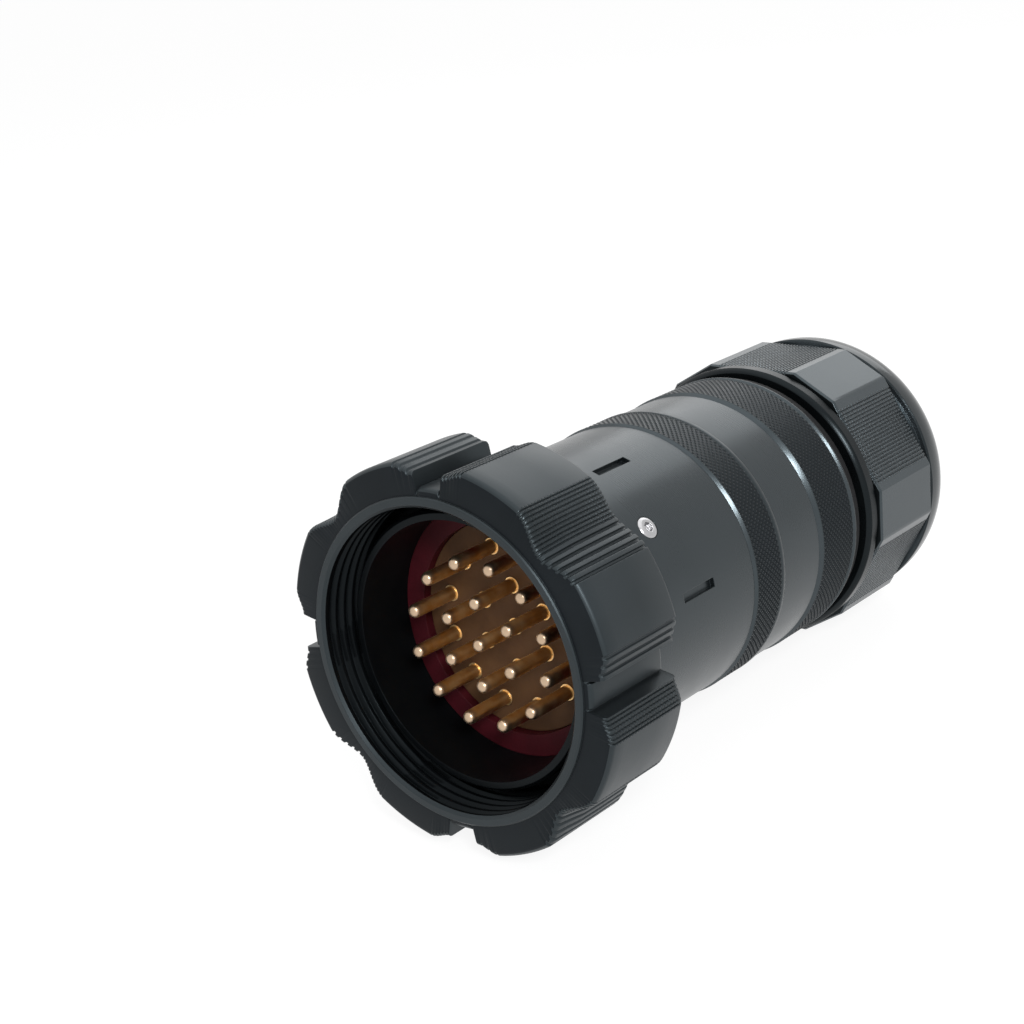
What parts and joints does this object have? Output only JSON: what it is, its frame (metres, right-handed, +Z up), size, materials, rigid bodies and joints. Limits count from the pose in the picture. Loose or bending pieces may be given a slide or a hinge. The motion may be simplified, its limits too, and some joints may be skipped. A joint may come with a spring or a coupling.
{
  "type": "multipin cable connector",
  "caption": "Round multipin cable plug with gold pins in a recessed insert, a lobed threaded coupling ring, slotted and knurled barrels and a cable gland with a domed nut.",
  "frame": {"origin": "on the ground under the middle of the connector's bounding box, lying as it rests", "axes": "+X from the mouth towards the cable end, level with the ground; the connector's own axis slopes down 4.2 degrees towards +X; +Z up; +Y to the left of someone looking along +X"},
  "size_m": [0.1252, 0.0652, 0.0672],
  "materials": {
    "shell_black": "black anodised, satin",
    "ring_black": "black anodised, satin",
    "nut_black": "glossy black",
    "contact_gold": "gold plated, polished",
    "insulator": "matte grey-brown",
    "gasket_red": "matte dark red",
    "rubber_black": "matte black",
    "screw_steel": "bright, lightly polished",
    "washer_steel": "plain"
  },
  "bodies": {
    "shell_body": {"plug_shell": "shell_black", "wave_washer": "washer_steel", "face_gasket": "gasket_red", "front_insulator": "insulator", "rear_insulator": "insulator", "insert_retaining_ring": "shell_black", "front_barrel": "shell_black", "locking_screw": "screw_steel", "front_barrel_oring": "rubber_black", "rear_barrel": "shell_black", "rear_barrel_oring": "rubber_black", "gland_body": "shell_black", "gland_oring": "rubber_black", "seal_grommet": "rubber_black", "contact_pin_01": "contact_gold", "contact_pin_02": "contact_gold", "contact_pin_03": "contact_gold", "contact_pin_04": "contact_gold", "contact_pin_05": "contact_gold", "contact_pin_06": "contact_gold", "contact_pin_07": "contact_gold", "contact_pin_08": "contact_gold", "contact_pin_09": "contact_gold", "contact_pin_10": "contact_gold", "contact_pin_11": "contact_gold", "contact_pin_12": "contact_gold", "contact_pin_13": "contact_gold", "contact_pin_14": "contact_gold", "contact_pin_15": "contact_gold", "contact_pin_16": "contact_gold", "contact_pin_17": "contact_gold", "contact_pin_18": "contact_gold", "contact_pin_19": "contact_gold"},
    "ring_body": {"coupling_ring": "ring_black"},
    "washer_body": {"thrust_washer": "washer_steel"},
    "nut_body": {"gland_nut": "nut_black"}
  },
  "joints": [
    {"name": "ring_turn", "type": "hinge", "parent": "shell_body", "child": "ring_body", "pos_m": [-0.05054, 0, 0.0341], "axis": [0.9973, 0, -0.0733], "continuous": true},
    {"name": "nut_travel", "type": "slide", "parent": "shell_body", "child": "washer_body", "axis": [0.9973, 0, -0.0733], "range_m": [0, 0.008]},
    {"name": "nut_turn", "type": "hinge", "parent": "washer_body", "child": "nut_body", "pos_m": [0.0442, 0, 0.02713], "axis": [0.9973, 0, -0.0733], "range_deg": [0, 1440]}
  ],
  "couplings": [
    {"joint": "nut_travel", "follows": "nut_turn", "m_per_rad": 0.00031831}
  ]
}
